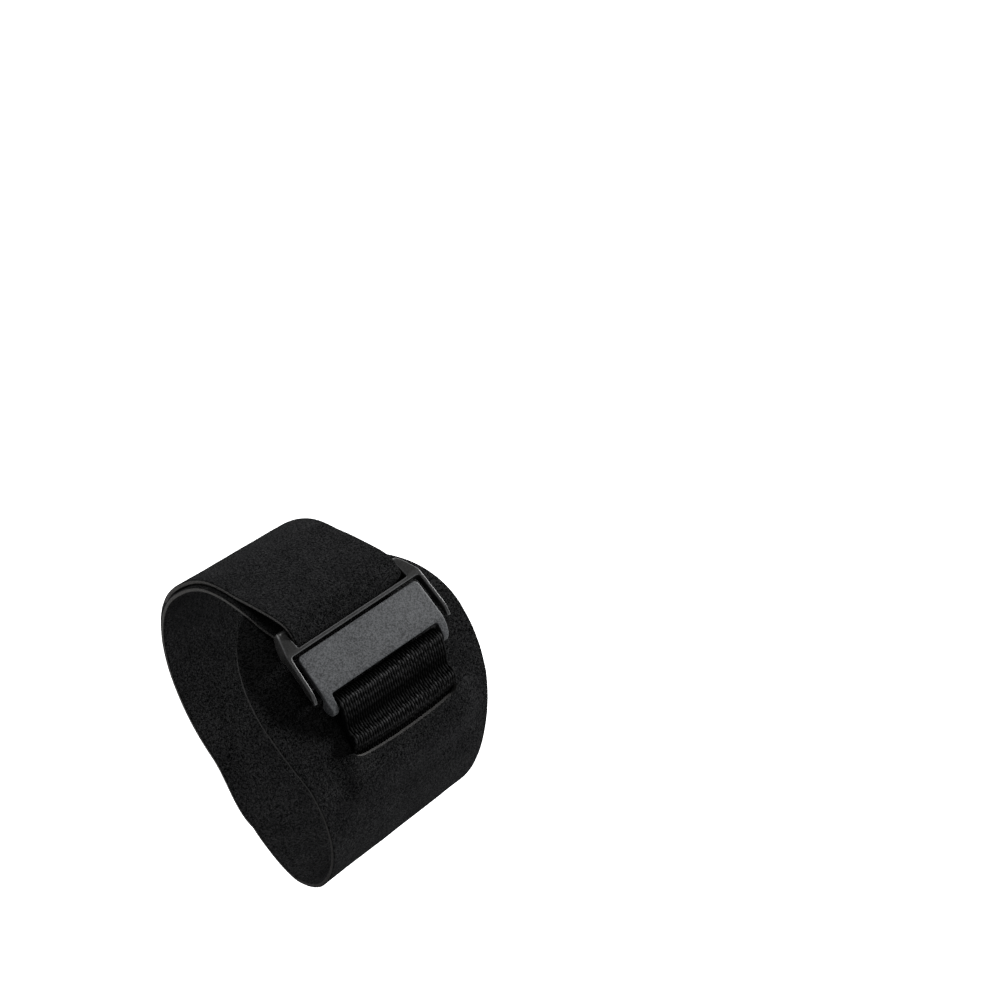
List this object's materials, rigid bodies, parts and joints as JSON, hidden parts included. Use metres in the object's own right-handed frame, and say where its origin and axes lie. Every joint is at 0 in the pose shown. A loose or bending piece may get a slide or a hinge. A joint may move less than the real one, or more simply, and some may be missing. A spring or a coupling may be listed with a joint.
{
  "type": "tennis elbow strap",
  "caption": "Forearm counterforce strap: a rounded pad that narrows into a strap, joined over the pad by a moulded buckle and a short elastic.",
  "frame": {"origin": "on the forearm's axis at the middle of the strap's width, where the loop sits on the forearm", "axes": "+X along the forearm from elbow to wrist, +Z out through the buckle's plate, +Y towards the side the strap comes from"},
  "size_m": [0.076, 0.0996, 0.0961],
  "materials": {
    "velour": "black brushed velour laminate with a pale cut edge",
    "hook": "black hook tape",
    "elastic": "black ribbed elastic webbing",
    "frame_plastic": "dark grey moulded plastic, smooth",
    "plate_plastic": "mid grey moulded plastic, finely textured"
  },
  "bodies": {
    "root": {"band": "velour", "hook_tab": "hook", "elastic_tab": "elastic", "buckle_frame": "frame_plastic", "buckle_plate": "plate_plastic"}
  },
  "joints": []
}
